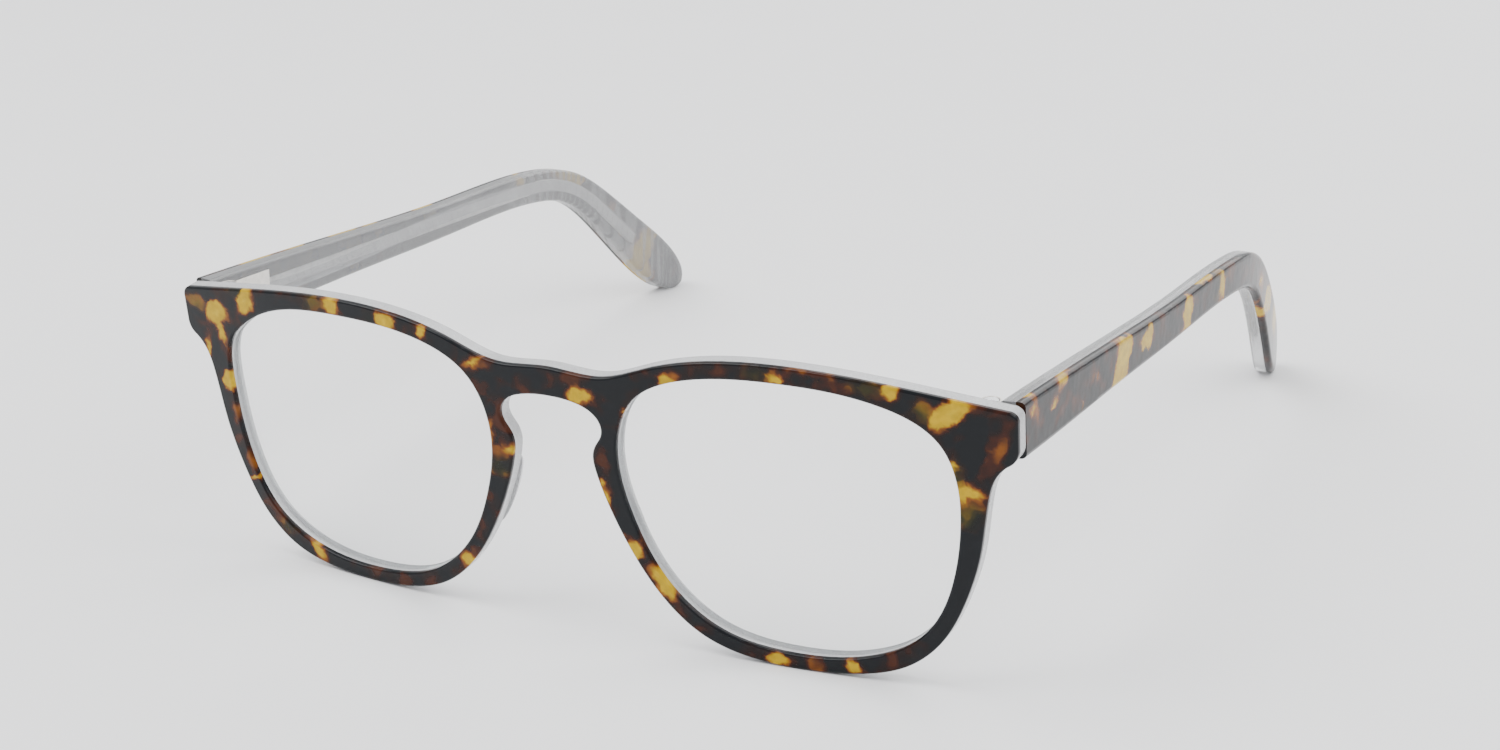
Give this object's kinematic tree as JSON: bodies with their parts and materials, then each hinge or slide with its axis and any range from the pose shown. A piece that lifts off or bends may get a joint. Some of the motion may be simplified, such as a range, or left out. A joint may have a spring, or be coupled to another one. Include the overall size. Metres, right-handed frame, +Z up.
{
  "type": "reading glasses",
  "caption": "Folding reading glasses: laminated tortoise and crystal acetate front with a keyhole bridge, clear lenses and temples on barrel hinges",
  "frame": {"origin": "on the table under the middle of the glasses, which stand open on the rims and the temple tips", "axes": "+X to the wearer's left across the front, +Y back along the open temples towards the wearer, +Z up; the front faces -Y"},
  "size_m": [0.14, 0.145, 0.0472],
  "materials": {
    "tortoise_acetate": "polished tortoiseshell acetate, near black with amber and brown patches",
    "crystal_acetate": "milky clear acetate, polished",
    "lens": "clear lens with an anti-reflection coat",
    "hinge_steel": "nickel silver, satin",
    "screw_steel": "bright stainless steel"
  },
  "bodies": {
    "front": {"front_tortoise_layer": "tortoise_acetate", "front_crystal_layer": "crystal_acetate", "lens_left": "lens", "lens_right": "lens", "nose_pad_left": "crystal_acetate", "nose_pad_right": "crystal_acetate", "front_hinge_leaf_left": "hinge_steel", "front_hinge_leaf_right": "hinge_steel", "hinge_screw_left": "screw_steel", "hinge_screw_right": "screw_steel"},
    "temple_left": {"temple_hinge_leaf_left": "hinge_steel", "core_wire_left": "screw_steel", "temple_tortoise_layer_left": "tortoise_acetate", "temple_crystal_layer_left": "crystal_acetate"},
    "temple_right": {"temple_hinge_leaf_right": "hinge_steel", "core_wire_right": "screw_steel", "temple_tortoise_layer_right": "tortoise_acetate", "temple_crystal_layer_right": "crystal_acetate"}
  },
  "joints": [
    {"name": "fold_left", "type": "hinge", "parent": "front", "child": "temple_left", "pos_m": [0.0644, -0.0621, 0.03982], "axis": [0, -0.0559, 0.9984], "range_deg": [0, 90]},
    {"name": "fold_right", "type": "hinge", "parent": "front", "child": "temple_right", "pos_m": [-0.0644, -0.0621, 0.03982], "axis": [0, 0.0559, -0.9984], "range_deg": [0, 84]}
  ]
}
